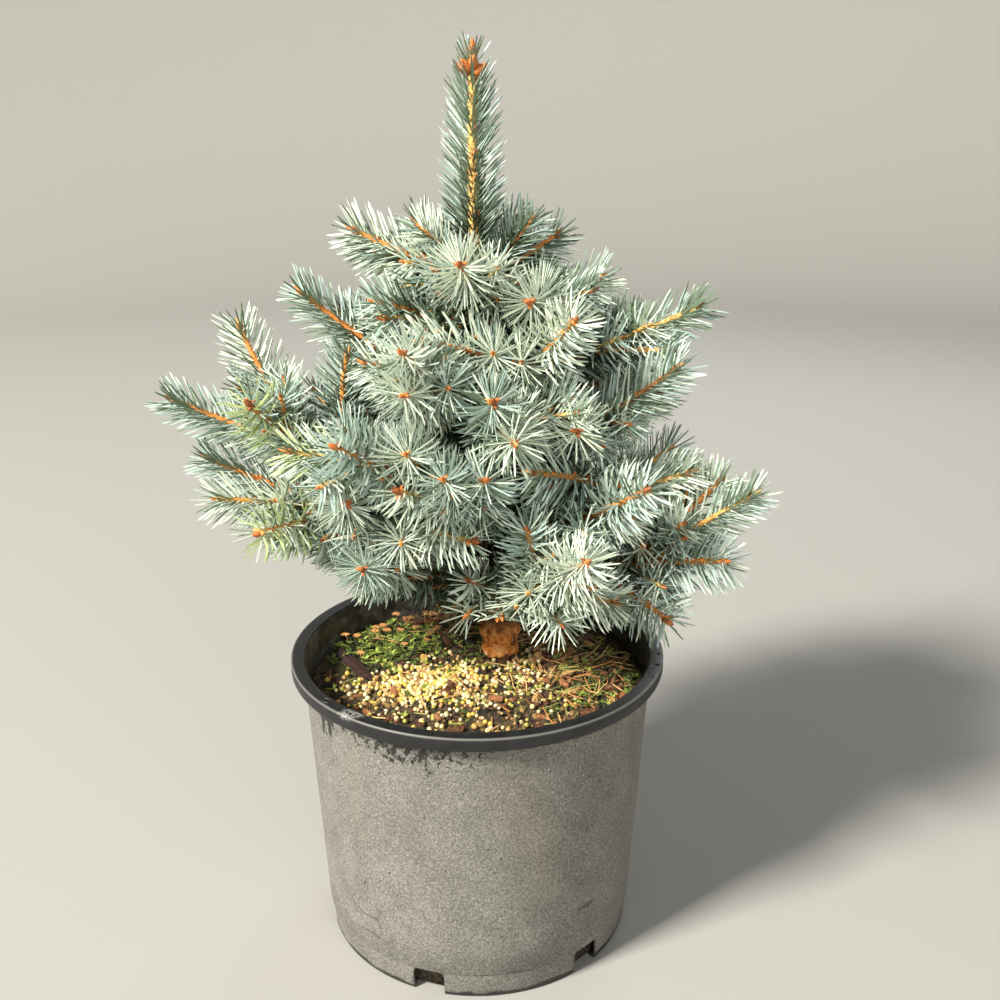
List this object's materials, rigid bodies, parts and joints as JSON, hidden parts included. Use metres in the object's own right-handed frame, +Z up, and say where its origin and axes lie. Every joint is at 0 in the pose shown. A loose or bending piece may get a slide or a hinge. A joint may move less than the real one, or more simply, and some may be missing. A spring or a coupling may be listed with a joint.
{
  "type": "potted blue spruce",
  "caption": "Young blue spruce with tiers of upswept, silver-blue needled shoots round an upright leader, in a round grey nursery pot filled with soil.",
  "frame": {"origin": "middle of the pot's flat underside", "axes": "+Z up through the pot and along the trunk, -Y towards the plant's front, +X to the viewer's right"},
  "size_m": [0.4374, 0.3522, 0.6556],
  "materials": {
    "pot": "black moulded plastic under a dry grey film of dust, worn back to black at the rim",
    "soil": "dark damp bark mix with pale feed granules, moss and shed needles",
    "bark": "flaking orange-brown bark, rough and matt",
    "needles": "stiff waxy needles, silver-blue over grey-green, on tan twigs with orange-brown buds"
  },
  "bodies": {
    "root": {"pot": "pot", "soil": "soil", "trunk": "bark", "bough_top_left": "bark", "bough_top_front": "bark", "bough_top_right": "bark", "bough_top_back": "bark", "bough_shoulder_left": "bark", "bough_shoulder_right": "bark", "bough_shoulder_back": "bark", "bough_left_upper": "bark", "bough_front_right_upper": "bark", "bough_front_left_upper": "bark", "bough_right_upper": "bark", "bough_front": "bark", "bough_back_upper_left": "bark", "bough_back_upper_right": "bark", "bough_right_middle": "bark", "bough_front_left_big": "bark", "bough_left_long": "bark", "bough_back_middle": "bark", "bough_right_front": "bark", "bough_front_low": "bark", "bough_right_front_big": "bark", "bough_left_low": "bark", "bough_back_left_low": "bark", "bough_back_right_low": "bark", "bough_left_lowest": "bark", "bough_front_lowest": "bark", "bough_front_right_low": "bark", "bough_right_long": "bark", "foliage_leader": "needles", "foliage_top_left": "needles", "foliage_top_front": "needles", "foliage_top_right": "needles", "foliage_top_back": "needles", "foliage_shoulder_left": "needles", "foliage_shoulder_right": "needles", "foliage_shoulder_back": "needles", "foliage_left_upper": "needles", "foliage_front_right_upper": "needles", "foliage_front_left_upper": "needles", "foliage_right_upper": "needles", "foliage_front": "needles", "foliage_back_upper_left": "needles", "foliage_back_upper_right": "needles", "foliage_right_middle": "needles", "foliage_front_left_big": "needles", "foliage_left_long": "needles", "foliage_back_middle": "needles", "foliage_right_front": "needles", "foliage_front_low": "needles", "foliage_right_front_big": "needles", "foliage_left_low": "needles", "foliage_back_left_low": "needles", "foliage_back_right_low": "needles", "foliage_left_lowest": "needles", "foliage_front_lowest": "needles", "foliage_front_right_low": "needles", "foliage_right_long": "needles"}
  },
  "joints": []
}
